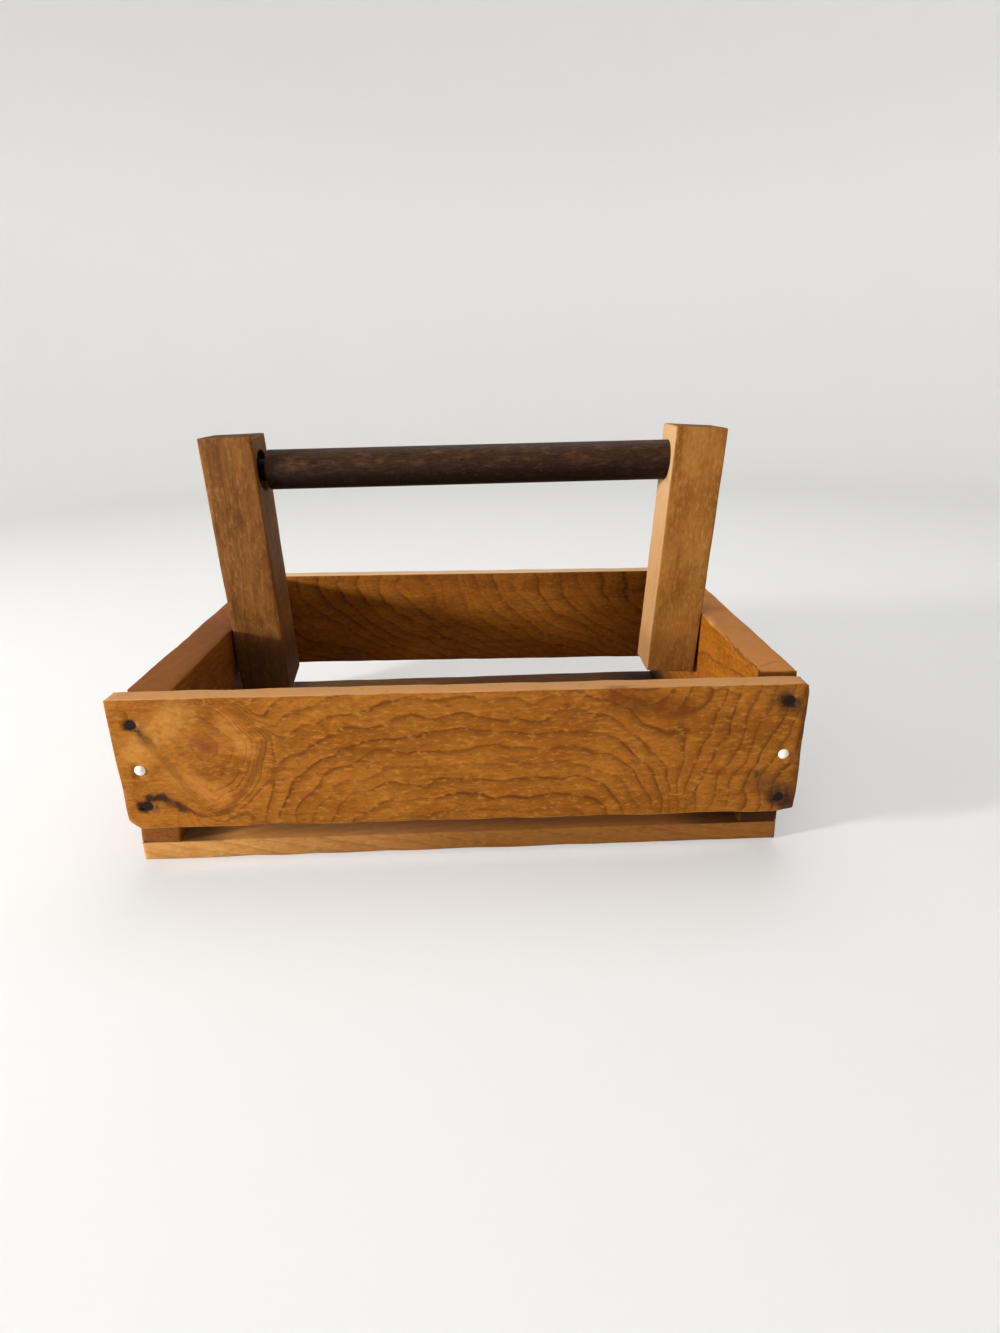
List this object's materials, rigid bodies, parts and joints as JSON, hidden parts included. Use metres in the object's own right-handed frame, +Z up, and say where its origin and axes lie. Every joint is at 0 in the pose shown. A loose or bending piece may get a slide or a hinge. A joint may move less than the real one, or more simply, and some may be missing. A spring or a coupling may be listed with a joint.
{
  "type": "wooden tool tote",
  "caption": "Open hand tote: shallow nailed board tray on thick end boards and bottom slats, with a round handle turning between two posts.",
  "frame": {"origin": "middle of the footprint, on the surface the slats rest on", "axes": "+X along the handle towards the end board that stands nearly plumb, +Y from the front board to the back board, +Z up"},
  "size_m": [0.383, 0.2814, 0.2345],
  "materials": {
    "side_board_wood": "old varnish over pine, honey brown",
    "end_board_wood": "old varnish, worn",
    "slat_wood": "thin varnish, bare at the edges",
    "left_post_wood": "varnished, darkened by handling",
    "right_post_wood": "thin varnish, pale inner side",
    "handle_wood": "dark stain, polished by hands",
    "rusted_steel": "rusted nearly black",
    "pin_enamel": "cream white enamel on the head",
    "screw_steel": "dull, slightly rusted"
  },
  "bodies": {
    "tote": {"front_board": "side_board_wood", "back_board": "side_board_wood", "left_end_board": "end_board_wood", "right_end_board": "end_board_wood", "bottom_slat_front": "slat_wood", "bottom_slat_middle": "slat_wood", "bottom_slat_rear": "slat_wood", "left_handle_post": "left_post_wood", "right_handle_post": "right_post_wood", "front_board_nails": "rusted_steel", "back_board_nails": "rusted_steel", "slat_nails": "rusted_steel", "front_board_pins": "pin_enamel", "back_board_pins": "pin_enamel", "left_post_screws": "screw_steel", "right_post_screws": "screw_steel"},
    "handle": {"handle_dowel": "handle_wood"}
  },
  "joints": [
    {"name": "handle_turn", "type": "hinge", "parent": "tote", "child": "handle", "pos_m": [0, 0, 0.21181], "axis": [1, 0, 0], "continuous": true}
  ]
}
